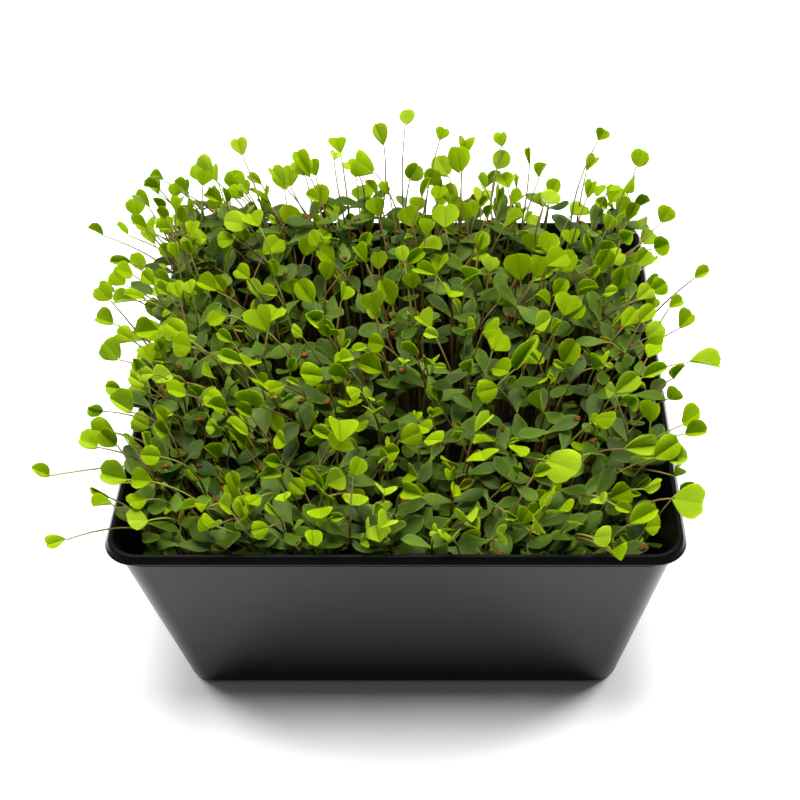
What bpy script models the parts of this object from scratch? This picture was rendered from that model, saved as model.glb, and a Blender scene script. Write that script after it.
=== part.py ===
"""Microgreens in a square black plastic tray.

A thin-walled tray with sloping sides and a rolled rim holds a block of growing medium. Tufts of two
to four seedlings stand in it, each tuft fused to the root plug that sits in a hole in the block. A
seedling is a slim stem, a pair of oval seed leaves and one broad first leaf, folded along its
midrib, on a long thin stalk.

Units are metres, +Z is up, the front is -Y, and the origin is the middle of the tray's underside.
"""
import math
import random
from collections import namedtuple

import bmesh
import bpy
import numpy as np
from mathutils import Vector

MM = 0.001
UP = Vector((0, 0, 1))

# The tray, by its outside
TRAY_WIDTH = 140 * MM
TRAY_HEIGHT = 62.5 * MM
BASE_WIDTH = 116 * MM
WALL = 0.9 * MM
FLOOR = 1.0 * MM
RIM_DEPTH = 2.6 * MM
RIM_OVERHANG = 1.9 * MM
RIM_CORNER = 8 * MM
BASE_CORNER = 7 * MM
CORNER_STEPS = 4

# The growing medium and the root plugs in its holes
FIT_GAP = 0.3 * MM
BED_DEPTH = 26 * MM
BED_TOP = TRAY_HEIGHT - BED_DEPTH
PLUG_RADIUS = 5 * MM
PLUG_DEPTH = 8 * MM
PLUG_STAND = 0.4 * MM

# The tufts, in rows
ROWS = 7
ROW_PITCH = 16.8 * MM
ROW_SHIFT = -2 * MM
ROW_JITTER = 1.4 * MM
ROOT_SPREAD = 2.4 * MM
ROOT_DEPTH = 3 * MM
TUFT_SIZES = (2, 3, 3)
TUFT_MOST = 4
SEED = 90

# A seedling: heights and reaches in mm, angles in degrees, and the rest as shares of a length
STEM_HALF = 0.5 * MM
STALK_HALF = 0.36 * MM
BLADE = 0.62 * MM
TIP_NOTCH = -0.05
LEADING_SECTIONS = ((0.24, 0.7), (0.6, 1.0), (0.94, 0.56))
PLAIN_SECTIONS = ((0.5, 1.0), (0.93, 0.62))
NODE_HEIGHT = (17, 27)
NODE_RISE = 7
NODE_LEAN = (1, 6)
NODE_STRAY = (0, 3)
NODE_SHARE = (0.2, 0.45)
NODE_BELOW_LEAF = (7, 11)
STALK_REACH = (9, 20)
STALK_RISE = (52, 84)
STALK_ARCH = 0.12
LEADING_ARCH = 0.5
STEM_BOW = 2
LEAF_WIDTH = (6.2, 9.4)
LEAF_LENGTH = (0.84, 1.0)
LEAF_DROP = (0, 60)
LEAF_FOLD = (4, 46)
LEAF_CURL = (-25, 20)
SEED_LEAF_LENGTH = (6.8, 8.6)
SEED_LEAF_WIDTH = (0.56, 0.66)
SEED_LEAF_PITCH = (-5, 42)
SEED_LEAF_CURL = (-35, 10)
LEAST_TURN = 0.42
BED_REACH = 50 * MM

# How far apart things stay: the room that a sample of each takes, in radius
LEAF_ROOM = 1.45 * MM
SEED_LEAF_ROOM = 1.35 * MM
STEM_ROOM = 0.95 * MM
STALK_ROOM = 0.6 * MM
STALK_STEP = 2.5 * MM
OWN_EASE = 0.9

# The leaves that stand out most: how far right, back and above the rim, and how wide, in mm
LEADING_LEAVES = (
    (-89, 42, 15, 5), (-82, 44, 14, 5), (-75, 61, 18, 6), (-79, 53, 16, 6), (-60, 63, 22, 9),
    (-49, 66, 28, 6), (-38, 60, 22, 7), (-30, 60, 26, 9), (-21, 61, 28, 5), (-13, 61, 25, 9),
    (-8, 63, 34, 7), (0, 66, 38, 5), (10, 65, 33, 5), (10, 62, 24, 7), (27, 64, 32, 5),
    (35, 61, 28, 6), (56, 63, 34, 5), (64, 56, 14, 8), (74, 46, 18, 6), (73, 38, 13, 7),
    (11, 45, 18, 9), (60, 22, 14, 9), (76, 5, 12, 6), (79, -13, 12, 9), (67, -3, 10, 7),
    (66, -15, 11, 8), (44, 7, 16, 8), (32, -14, 16, 11), (73, -34, 12, 7), (66, -45, 12, 10),
    (40, -51, 12, 10), (70, -59, 8, 9), (59, -62, 6, 8), (-80, 28, 14, 7),
    (-83, 22, 10, 6), (-76, 13, 12, 7), (-80, 5, 12, 6), (-77, -5, 10, 7), (-67, -20, 12, 7),
    (-78, -26, 8, 7), (-77, -39, 8, 6), (-87, -48, 7, 5), (-80, -68, 3, 6), (-71, -56, 8, 6),
    (-61, -54, 10, 6), (-44, -11, 12, 8), (-40, -38, 12, 8), (-14, -41, 14, 10), (4, -56, 8, 7),
    (-4, -64, 1, 8), (31, -59, 3, 5), (-74, 44, 15, 7), (-68, 38, 20, 6), (-65, 52, 22, 6),
    (-60, 40, 14, 7), (-64, -7, 12, 7), (-57, -10, 16, 7), (-70, -29, 12, 8),
    (-54, 18, 14, 7), (-37, -2, 18, 8), (-37, -29, 14, 8), (-56, -26, 14, 6), (68, 47, 13, 6),
    (52, -72, 2, 7), (58, -21, 12, 8), (61, 6, 12, 7), (-8, 6, 18, 8),
    (20, 19, 16, 8), (38, -1, 16, 7), (19, -7, 18, 8), (21, -48, 12, 9),
    (41, 46, 24, 6), (6, 48, 26, 7),
)

Blade = namedtuple("Blade", "base along up length width fold curl outline")
Seedling = namedtuple("Seedling", "tuft leading root bend node seed_leaves stalk_bend leaf")


# Plan of the seedlings

def oval(t):
    """Half width of a seed leaf, at t of its length."""
    return math.sin(math.pi * min(t, 1) ** 1.15) ** 0.7


def fan(t):
    """Half width of a first leaf, at t of its length: widest past the middle, with a blunt tip."""
    return math.sin(math.pi * min(t, 1) ** 1.25) ** 0.6


def on_curve(start, bend, end, t):
    """A point at t on the curve from start to end that is drawn towards bend."""
    return start * (1 - t) ** 2 + bend * (2 * t * (1 - t)) + end * t ** 2


def heading(azimuth, elevation):
    """The unit vector at these two angles."""
    flat = math.cos(elevation)
    return Vector((flat * math.cos(azimuth), flat * math.sin(azimuth), math.sin(elevation)))


def upright(along, lean):
    """The unit vector square to along that is nearest to lean."""
    return (lean - along * lean.dot(along)).normalized()


def blade_frame(blade, t):
    """The midrib's point at t of its length, and the ways along and up from it there."""
    turn = blade.curl * t
    half = turn / 2
    chord = blade.along * math.cos(half) + blade.up * math.sin(half)
    reach = blade.length * t * (math.sin(half) / half if turn else 1)
    along = blade.along * math.cos(turn) + blade.up * math.sin(turn)
    up = blade.up * math.cos(turn) - blade.along * math.sin(turn)
    return blade.base + chord * reach, along, up


def blade_point(blade, t, across):
    """A point on the blade's upper face, at t of its length and across of its half width."""
    rib, along, up = blade_frame(blade, t)
    side = up.cross(along) * (across * math.cos(blade.fold))
    rise = up * (abs(across) * math.sin(blade.fold))
    return rib + (side + rise) * (blade.width / 2 * blade.outline(t))


def inner_half(z):
    """Half the width between the tray's inner walls, at the height z."""
    slope = (TRAY_WIDTH / 2 - RIM_OVERHANG - BASE_WIDTH / 2) / (TRAY_HEIGHT - RIM_DEPTH)
    return BASE_WIDTH / 2 + slope * z - WALL


def misses_tray(points):
    """Whether every point (x, y, z, radius) is clear of the tray's walls, rim and bed."""
    for x, y, z, radius in points:
        inner = inner_half(min(z, TRAY_HEIGHT)) - RIM_CORNER
        corner = math.hypot(max(abs(x) - inner, 0), max(abs(y) - inner, 0))
        inside = corner + radius < RIM_CORNER
        beyond = max(abs(x), abs(y)) - radius > TRAY_WIDTH / 2
        if z < BED_TOP + radius or z < TRAY_HEIGHT + radius and not inside and not beyond:
            return False
    return True


def blade_samples(blade, steps, sides, radius):
    """Points all over a blade, each with the room that it takes."""
    return [(*blade_point(blade, t, across), radius) for t in steps for across in sides]


def stalk_samples(start, bend, end, radius):
    """Points along a stem or stalk, each with the room that it takes."""
    count = max(3, int((end - start).length / STALK_STEP))
    return [(*on_curve(start, bend, end, (i + 0.5) / count), radius) for i in range(count)]


def seedling_samples(seedling):
    """The room that a seedling takes: a list for its seed leaves, one for its stem, one for the rest."""
    pair = [point for blade in seedling.seed_leaves
            for point in blade_samples(blade, (0.25, 0.55, 0.85), (-0.6, 0, 0.6), SEED_LEAF_ROOM)]
    stem = stalk_samples(seedling.root + UP * MM, seedling.bend, seedling.node, STEM_ROOM)
    leaf = blade_samples(seedling.leaf, (0.15, 0.4, 0.65, 0.9), (-0.8, -0.3, 0.3, 0.8), LEAF_ROOM)
    stalk = stalk_samples(seedling.node, seedling.stalk_bend, seedling.leaf.base, STALK_ROOM)
    return pair, stem, stalk[2:] + leaf


def apart(points, others, ease=1.0):
    """Whether no point comes as near to any of the others as their radii say."""
    if not len(others):
        return True
    gaps = np.linalg.norm(points[:, None, :3] - others[None, :, :3], axis=2)
    return bool(np.all(gaps > (points[:, None, 3] + others[None, :, 3]) * ease))


def draw_seedling(rng, tuft, root, goal=None):
    """One seedling from its root; goal is its leaf's middle and width where they are chosen."""
    outward = Vector((root.x, root.y, 0)) / BED_REACH
    stray = heading(rng.uniform(0, math.tau), 0) * rng.uniform(*NODE_STRAY)
    height = rng.uniform(*NODE_HEIGHT) + NODE_RISE * outward.y
    node = root + (outward * rng.uniform(*NODE_LEAN) + stray + UP * height) * MM
    width = rng.uniform(*LEAF_WIDTH) * MM
    azimuth = math.atan2(outward.y, outward.x) + rng.gauss(0, 1.1)
    rise = math.radians(rng.uniform(*STALK_RISE))
    tilt = rise - math.radians(rng.uniform(*LEAF_DROP))
    base = node + heading(azimuth, rise) * (rng.uniform(*STALK_REACH) * MM)
    middle = base + heading(azimuth, tilt) * width / 2
    if goal:
        middle, width = goal
        reach = middle - root
        azimuth = math.atan2(reach.y, reach.x) + rng.gauss(0, 0.35)
        share = rng.uniform(*NODE_SHARE)
        lift = min(height * MM, reach.z - rng.uniform(*NODE_BELOW_LEAF) * MM)
        node = root + Vector((reach.x * share, reach.y * share, lift))
    length = width * rng.uniform(*LEAF_LENGTH)
    along = heading(azimuth, tilt)
    facing = Vector((rng.gauss(0, 0.3), rng.gauss(-0.55, 0.3), 1))
    base = middle - along * length / 2
    leaf = Blade(base, along, upright(along, facing), length, width,
                 math.radians(rng.uniform(*LEAF_FOLD)), math.radians(rng.uniform(*LEAF_CURL)), fan)
    arch = (base - node).length * (LEADING_ARCH if goal else STALK_ARCH)
    stalk_bend = (base - along * arch + node + UP * arch) / 2
    cross = math.atan2((base - node).y, (base - node).x) + math.pi / 2 + rng.uniform(-0.5, 0.5)
    pair = []
    for turn in (0, math.pi):
        pitch = math.radians(rng.uniform(*SEED_LEAF_PITCH))
        lie = heading(cross + turn + rng.uniform(-0.2, 0.2), pitch)
        size = rng.uniform(*SEED_LEAF_LENGTH) * MM
        facing = UP + Vector((rng.gauss(0, 0.2), rng.gauss(-0.2, 0.2), 0))
        foot = node + Vector((lie.x, lie.y, 0)).normalized() * STEM_HALF + UP * BLADE
        pair.append(Blade(foot, lie, upright(lie, facing), size, size * rng.uniform(*SEED_LEAF_WIDTH),
                          0.0, math.radians(rng.uniform(*SEED_LEAF_CURL)), oval))
    bend = (root + node) / 2
    if goal:
        bend += (UP - outward) * (STEM_BOW * MM)
    return Seedling(tuft, bool(goal), root, bend, node, pair, stalk_bend, leaf)


def runs_smoothly(seedling):
    """Whether the stalk leaves the stem, and the leaf its stalk, with no sharp turn."""
    node, leaf = seedling.node, seedling.leaf
    middle = on_curve(node, seedling.stalk_bend, leaf.base, 0.55)
    start, end = (middle - node).normalized(), (leaf.base - middle).normalized()
    return start.dot(UP) > LEAST_TURN and end.dot(leaf.along) > LEAST_TURN


def fits(seedling, taken):
    """The seedling's samples if it is clear of itself, the tray and what is taken, or else None."""
    if not runs_smoothly(seedling):
        return None
    pair, stem, rest = (np.array(points) for points in seedling_samples(seedling))
    if not apart(rest, pair, OWN_EASE):
        return None
    points = np.vstack((pair, stem, rest))
    if not misses_tray(points):
        return None
    low = points[:, :3].min(axis=0) - 2 * LEAF_ROOM
    high = points[:, :3].max(axis=0) + 2 * LEAF_ROOM
    near = taken[np.all((taken[:, :3] > low) & (taken[:, :3] < high), axis=1)]
    return points if apart(points, near) else None


def plan_tufts(rng):
    """The middle of each tuft, row by row from the front, at the bed's top."""
    middle = (ROWS - 1) / 2
    return [Vector(((column - middle) * ROW_PITCH + ROW_SHIFT + rng.uniform(-1, 1) * ROW_JITTER,
                    (row - middle) * ROW_PITCH + rng.uniform(-1, 1) * ROW_JITTER, BED_TOP))
            for row in range(ROWS) for column in range(ROWS)]


def plan_roots(rng, tufts):
    """Each seedling's tuft, root and chosen leaf, if it has one, those with a chosen leaf first."""
    turns = [rng.uniform(0, math.tau) for _ in tufts]
    filled = [0] * len(tufts)

    def root_in(tuft):
        angle = turns[tuft] + filled[tuft] * math.tau / TUFT_MOST
        filled[tuft] += 1
        return tufts[tuft] + heading(angle, 0) * ROOT_SPREAD

    roots = []
    for x, y, above, width in LEADING_LEAVES:
        goal = Vector((x * MM, y * MM, TRAY_HEIGHT + above * MM))
        start = Vector((goal.x * 0.72, goal.y * 0.78, BED_TOP))
        free = [i for i in range(len(tufts)) if filled[i] < TUFT_MOST]
        tuft = min(free, key=lambda i: (tufts[i] - start).length)
        roots.append((tuft, root_in(tuft), (goal, width * MM)))
    for tuft in range(len(tufts)):
        size = rng.choice(TUFT_SIZES)
        while filled[tuft] < size:
            roots.append((tuft, root_in(tuft), None))
    return roots


def plan_seedlings(rng, roots, taken, tries=400):
    """Draw each seedling again until it is clear of those before it, and give up after some tries."""
    seedlings = []
    for tuft, root, goal in roots:
        for _ in range(tries):
            seedling = draw_seedling(rng, tuft, root, goal)
            points = fits(seedling, taken)
            if points is not None:
                seedlings.append(seedling)
                taken = np.vstack((taken, points))
                break
    return seedlings, taken


# Solids, each drawn out face by face

def corner_ring(half, corner, z, steps):
    """A square with rounded corners at the height z, as points that run anticlockwise."""
    ring = []
    for quarter, (sx, sy) in enumerate(((1, 1), (-1, 1), (-1, -1), (1, -1))):
        for i in range(steps + 1):
            angle = math.pi / 2 * (quarter + i / steps)
            ring.append(Vector((sx * (half - corner) + corner * math.cos(angle),
                                sy * (half - corner) + corner * math.sin(angle), z)))
    return ring


def round_ring(middle, radius, z, sides):
    """An even ring of points about a middle."""
    return [Vector((middle.x, middle.y, z)) + heading(i * math.tau / sides, 0) * radius
            for i in range(sides)]


def prism(bm, low, high):
    """A closed solid between two rings that run anticlockwise, and its face at the high ring."""
    below = [bm.verts.new(point) for point in low]
    above = [bm.verts.new(point) for point in high]
    bm.faces.new(reversed(below))
    for i in range(len(low)):
        j = (i + 1) % len(low)
        bm.faces.new((below[i], below[j], above[j], above[i]))
    return bm.faces.new(above)


def grow(bm, face, ring):
    """Draw a face out until its corners stand at the ring's points, turned the shortest way round."""
    new = bmesh.ops.extrude_discrete_faces(bm, faces=[face])["faces"][0]
    corners = [loop.vert for loop in new.loops]
    turns = [corners[k:] + corners[:k] for k in range(len(corners))]
    middle = sum((vert.co for vert in corners), Vector()) / len(corners)
    shift = sum(ring, Vector()) / len(ring) - middle
    best = min(turns, key=lambda turn: sum((v.co + shift - p).length for v, p in zip(turn, ring)))
    for vert, point in zip(best, ring):
        vert.co = point
    return new


def face_towards(top, direction):
    """The wall just below a top face that looks most nearly in a direction."""
    walls = [face for edge in top.edges for face in edge.link_faces if face is not top]
    for wall in walls:
        wall.normal_update()
    return max(walls, key=lambda wall: wall.normal.dot(direction))


def square_ring(middle, side, up, half):
    """The four corners round a middle, for a solid that grows along side x up."""
    return [middle + side * (half * a) + up * (half * b) for a, b in ((1, 1), (-1, 1), (-1, -1), (1, -1))]


def flat_ring(blade, t, half):
    """The four corners of an unfolded blade's section."""
    rib, along, up = blade_frame(blade, t)
    side = up.cross(along) * half
    return [rib + side, rib - side, rib - side - up * BLADE, rib + side - up * BLADE]


def folded_ring(blade, t, half, notch=0.0):
    """The six corners of a folded blade's section, with the midrib drawn back by the notch."""
    rib, along, up = blade_frame(blade, t)
    side = up.cross(along)
    rise, run = math.sin(blade.fold), math.cos(blade.fold)
    left, right = side * run + up * rise, up * rise - side * run
    below_left, below_right = side * rise - up * run, -side * rise - up * run
    valley = rib - along * notch
    return [rib + left * half, valley, rib + right * half,
            rib + right * half + below_right * BLADE, valley - up * (BLADE / run),
            rib + left * half + below_left * BLADE]


def add_seed_leaf(bm, face, blade):
    """An oval seed leaf, drawn out of the side of the stem."""
    for t, share in ((0.5, 1.0), (0.97, 0.46)):
        face = grow(bm, face, flat_ring(blade, t, blade.width / 2 * share))


def add_first_leaf(bm, face, blade, sections):
    """A broad leaf folded along its midrib, drawn out of the end of its stalk."""
    verts = [loop.vert for loop in face.loops]
    tops = sorted(verts, key=lambda vert: -(vert.co - blade.base).dot(blade.up))
    for pair in (tops[:2], tops[2:]):
        edge = next(edge for edge in face.edges if set(edge.verts) == set(pair))
        bmesh.utils.edge_split(edge, pair[0], 0.5)
    half = blade.width / 2
    for t, share in sections:
        notch = blade.length * TIP_NOTCH if t > 0.9 else 0
        face = grow(bm, face, folded_ring(blade, t, half * share, notch))


def seedling_mesh(bm, seedling):
    """One seedling as a single closed solid, with its root below the bed's top."""
    node, leaf = seedling.node, seedling.leaf
    first = seedling.seed_leaves[0].along
    across = Vector((first.x, first.y, 0)).normalized()
    square = UP.cross(across)

    def level_ring(middle):
        return square_ring(middle, across, square, STEM_HALF)

    waist = on_curve(seedling.root, seedling.bend, node, 0.5) if seedling.leading else node
    top = prism(bm, level_ring(seedling.root - UP * ROOT_DEPTH), level_ring(waist))
    if seedling.leading:
        top = grow(bm, top, level_ring(node))
    top = grow(bm, top, level_ring(node + UP * BLADE))
    for blade in seedling.seed_leaves:
        add_seed_leaf(bm, face_towards(top, Vector((blade.along.x, blade.along.y, 0))), blade)
    if seedling.leading:
        middle = on_curve(node, seedling.stalk_bend, leaf.base, 0.55)
        way = (leaf.base - node).normalized()
        up = upright(way, leaf.up)
        top = grow(bm, top, square_ring(middle, up.cross(way), up, STALK_HALF))
    sections = LEADING_SECTIONS if seedling.leading else PLAIN_SECTIONS
    add_first_leaf(bm, grow(bm, top, flat_ring(leaf, 0, STALK_HALF)), leaf, sections)


# Objects

def new_object(name, bm, material, collection):
    """Turn a bmesh into an object of its own in a collection."""
    bmesh.ops.triangulate(bm, faces=[face for face in bm.faces if len(face.verts) == 4])
    mesh = bpy.data.meshes.new(name)
    bm.to_mesh(mesh)
    bm.free()
    mesh.materials.append(material)
    thing = bpy.data.objects.new(name, mesh)
    collection.objects.link(thing)
    return thing


def new_collection(name):
    """A collection in the scene."""
    collection = bpy.data.collections.new(name)
    bpy.context.scene.collection.children.link(collection)
    return collection


def new_material(name, color, roughness):
    """A plain Principled material."""
    material = bpy.data.materials.new(name)
    material.use_nodes = True
    shader = material.node_tree.nodes["Principled BSDF"]
    shader.inputs["Base Color"].default_value = (*color, 1)
    shader.inputs["Roughness"].default_value = roughness
    shader.inputs["Metallic"].default_value = 0
    return material


def make_tray(material, collection):
    """The tray: up its outer wall, over the rolled rim and down its inner wall to the floor."""
    rim, base, top = TRAY_WIDTH / 2, BASE_WIDTH / 2, TRAY_HEIGHT
    under = rim - RIM_OVERHANG
    profile = (
        (base - 1.4 * MM, 0), (base - 0.4 * MM, 0.4 * MM), (base, 1.4 * MM),
        (under, top - RIM_DEPTH), (rim - 0.3 * MM, top - RIM_DEPTH), (rim, top - 2.2 * MM),
        (rim, top - 0.9 * MM), (rim - 0.3 * MM, top - 0.25 * MM), (rim - 0.9 * MM, top),
        (rim - 1.5 * MM, top - 0.25 * MM), (rim - 1.9 * MM, top - 0.9 * MM),
        (inner_half(2.4 * MM), 2.4 * MM), (base - 2.6 * MM, FLOOR),
    )

    def ring(half, z):
        corner = BASE_CORNER + (RIM_CORNER - BASE_CORNER) * z / top - (rim - half) * 0.08
        return corner_ring(half, corner, z, CORNER_STEPS)

    bm = bmesh.new()
    face = prism(bm, ring(*profile[0]), ring(*profile[1]))
    for half, z in profile[2:]:
        face = grow(bm, face, ring(half, z))
    return new_object("tray", bm, material, collection)


def make_hole(cutters, middle):
    """A six-sided cutter for one root plug's hole, with the gap all round it."""
    radius = PLUG_RADIUS + FIT_GAP / math.cos(math.pi / 6)
    bm = bmesh.new()
    low = BED_TOP - PLUG_DEPTH - FIT_GAP
    prism(bm, round_ring(middle, radius, low, 6), round_ring(middle, radius, BED_TOP + 2 * MM, 6))
    mesh = bpy.data.meshes.new("plug_hole")
    bm.to_mesh(mesh)
    bm.free()
    cutter = bpy.data.objects.new("plug_hole", mesh)
    cutter.hide_render = True
    cutter.display_type = "WIRE"
    cutters.objects.link(cutter)


def make_bed(material, collection, cutters, tufts):
    """The block of growing medium, a gap's width inside the tray, with a plain hole for each plug."""
    low = FLOOR + FIT_GAP
    bm = bmesh.new()
    corner = BASE_CORNER - 1.5 * MM
    foot = corner_ring(BASE_WIDTH / 2 - 3.2 * MM, corner, low, 3)
    heel = corner_ring(inner_half(3 * MM) - FIT_GAP - 0.2 * MM, corner, 3 * MM, 3)
    brim = corner_ring(inner_half(BED_TOP) - FIT_GAP - 0.2 * MM, corner, BED_TOP, 3)
    grow(bm, prism(bm, foot, heel), brim)
    bed = new_object("growing_medium", bm, material, collection)
    for middle in tufts:
        make_hole(cutters, middle)
    cut = bed.modifiers.new("plug holes", "BOOLEAN")
    cut.operation = "DIFFERENCE"
    cut.operand_type = "COLLECTION"
    cut.collection = cutters
    cut.solver = "EXACT"
    return bed


def fuse(body, parts):
    """Join a collection's solids to a body with one Boolean union, apply it and remove them."""
    union = body.modifiers.new("union", "BOOLEAN")
    union.operation = "UNION"
    union.operand_type = "COLLECTION"
    union.collection = parts
    union.solver = "EXACT"
    graph = bpy.context.evaluated_depsgraph_get()
    joined = bpy.data.meshes.new_from_object(body.evaluated_get(graph))
    body.modifiers.remove(union)
    body.data = joined
    for part in list(parts.objects):
        bpy.data.objects.remove(part, do_unlink=True)


def make_tuft(number, middle, seedlings, material, collection, parts):
    """A root plug with the seedlings that stand in it, fused into one solid."""
    bm = bmesh.new()
    low = round_ring(middle, PLUG_RADIUS, BED_TOP - PLUG_DEPTH, 6)
    prism(bm, low, round_ring(middle, PLUG_RADIUS, BED_TOP + PLUG_STAND, 6))
    tuft = new_object(f"tuft_{number:02d}", bm, material, collection)
    for seedling in seedlings:
        bm = bmesh.new()
        seedling_mesh(bm, seedling)
        new_object("seedling", bm, material, parts)
    fuse(tuft, parts)


def main():
    for thing in list(bpy.data.objects):
        bpy.data.objects.remove(thing, do_unlink=True)
    collection = new_collection("microgreens_tray")
    cutters = new_collection("cutters")
    parts = new_collection("parts_to_join")
    plastic = new_material("black_plastic", (0.012, 0.012, 0.013), 0.38)
    fibre = new_material("dark_fibre", (0.022, 0.015, 0.011), 0.9)
    green = new_material("seedling_green", (0.13, 0.3, 0.03), 0.55)

    rng = random.Random(SEED)
    tufts = plan_tufts(rng)
    seedlings, _ = plan_seedlings(rng, plan_roots(rng, tufts), np.zeros((0, 4)))
    make_tray(plastic, collection)
    make_bed(fibre, collection, cutters, tufts)
    for number, middle in enumerate(tufts):
        own = [seedling for seedling in seedlings if seedling.tuft == number]
        make_tuft(number + 1, middle, own, green, collection, parts)
    bpy.data.collections.remove(parts)


main()
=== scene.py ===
"""Looks of the microgreens tray: fine seedlings, moulded plastic and damp fibre round the CAD part.

Units are metres in the part's own frame: +Z is up, the front is -Y, and the origin is the middle of
the tray's underside.
"""
import math
import random
from collections import namedtuple

import bpy
import numpy as np
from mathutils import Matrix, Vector, noise


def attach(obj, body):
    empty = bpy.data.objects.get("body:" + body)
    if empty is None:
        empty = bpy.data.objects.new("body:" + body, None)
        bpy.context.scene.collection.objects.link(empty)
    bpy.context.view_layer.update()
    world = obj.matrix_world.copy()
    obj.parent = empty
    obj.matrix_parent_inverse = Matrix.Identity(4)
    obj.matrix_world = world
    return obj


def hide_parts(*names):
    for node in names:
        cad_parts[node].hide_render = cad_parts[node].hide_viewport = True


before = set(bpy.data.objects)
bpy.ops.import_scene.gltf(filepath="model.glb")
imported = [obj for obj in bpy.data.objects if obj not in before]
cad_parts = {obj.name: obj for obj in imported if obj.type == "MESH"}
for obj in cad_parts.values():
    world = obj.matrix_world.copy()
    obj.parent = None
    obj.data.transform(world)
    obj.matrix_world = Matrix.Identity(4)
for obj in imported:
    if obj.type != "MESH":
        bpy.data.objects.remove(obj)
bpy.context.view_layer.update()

MM = 0.001
UP = Vector((0, 0, 1))

# The tray, by its outside
TRAY_WIDTH = 140 * MM
TRAY_HEIGHT = 62.5 * MM
BASE_WIDTH = 116 * MM
WALL = 0.9 * MM
FLOOR = 1.0 * MM
RIM_DEPTH = 2.6 * MM
RIM_OVERHANG = 1.9 * MM
RIM_CORNER = 8 * MM
BASE_CORNER = 7 * MM
CORNER_STEPS = 14
BASE_FILLET = 1.4 * MM
FLOOR_FILLET = 2 * MM

# The outer wall between fillet and rim: where it has points, as shares of its height, and then the
# shallow groove and the step above it, as mm above the underside and mm deep
WALL_SHARES = (0.02, 0.1, 0.3, 0.5, 0.7, 0.9, 0.95)
GROOVE = ((56.8, 0), (56.9, 0.4), (57.6, 0.4), (57.67, 0), (59.4, 0))

# The rolled rim's section, as mm inward from its widest and down from its top: underside, thin lip,
# slanting outer face, crest and inner edge
RIM_SECTION = (
    (1.85, 2.62), (0.12, 2.62), (0.03, 2.58), (0, 2.5), (0, 2.28), (0.04, 2.2), (0.12, 2.12),
    (0.22, 1.92), (0.34, 1.68), (0.47, 1.44), (0.6, 1.2), (0.74, 0.98), (0.9, 0.79), (1.08, 0.65),
    (1.3, 0.57), (1.52, 0.55), (1.74, 0.58), (1.92, 0.68), (2.05, 0.86), (2.12, 1.15),
)

# The growing medium and the root plugs in it
BED_DEPTH = 26 * MM
BED_TOP = TRAY_HEIGHT - BED_DEPTH
PLUG_RADIUS = 5 * MM
PLUG_DEPTH = 8 * MM

# The tufts, in rows, as they stand in the CAD part
ROWS = 7
ROW_PITCH = 16.8 * MM
ROW_SHIFT = -2 * MM
ROW_JITTER = 1.4 * MM
ROOT_SPREAD = 2.4 * MM
TUFT_SIZES = (2, 3, 3)
TUFT_MOST = 4
SEED = 90

# A seedling: heights and reaches in mm, angles in degrees, and the rest as shares of a length
STEM_HALF = 0.5 * MM
BLADE = 0.62 * MM
NODE_HEIGHT = (17, 27)
NODE_RISE = 7
NODE_LEAN = (1, 6)
NODE_STRAY = (0, 3)
NODE_SHARE = (0.2, 0.45)
NODE_BELOW_LEAF = (7, 11)
STALK_REACH = (9, 20)
STALK_RISE = (52, 84)
STALK_ARCH = 0.12
LEADING_ARCH = 0.5
STEM_BOW = 2
LEAF_WIDTH = (6.2, 9.4)
LEAF_LENGTH = (0.84, 1.0)
LEAF_DROP = (0, 60)
LEAF_FOLD = (4, 46)
LEAF_CURL = (-25, 20)
SEED_LEAF_LENGTH = (6.8, 8.6)
SEED_LEAF_WIDTH = (0.56, 0.66)
SEED_LEAF_PITCH = (-5, 42)
SEED_LEAF_CURL = (-35, 10)
LEAST_TURN = 0.42
BED_REACH = 50 * MM

# How far apart things stay: the room that a sample of each takes, in radius
LEAF_ROOM = 1.45 * MM
SEED_LEAF_ROOM = 1.35 * MM
STEM_ROOM = 0.95 * MM
STALK_ROOM = 0.6 * MM
STALK_STEP = 2.5 * MM
OWN_EASE = 0.9

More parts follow.
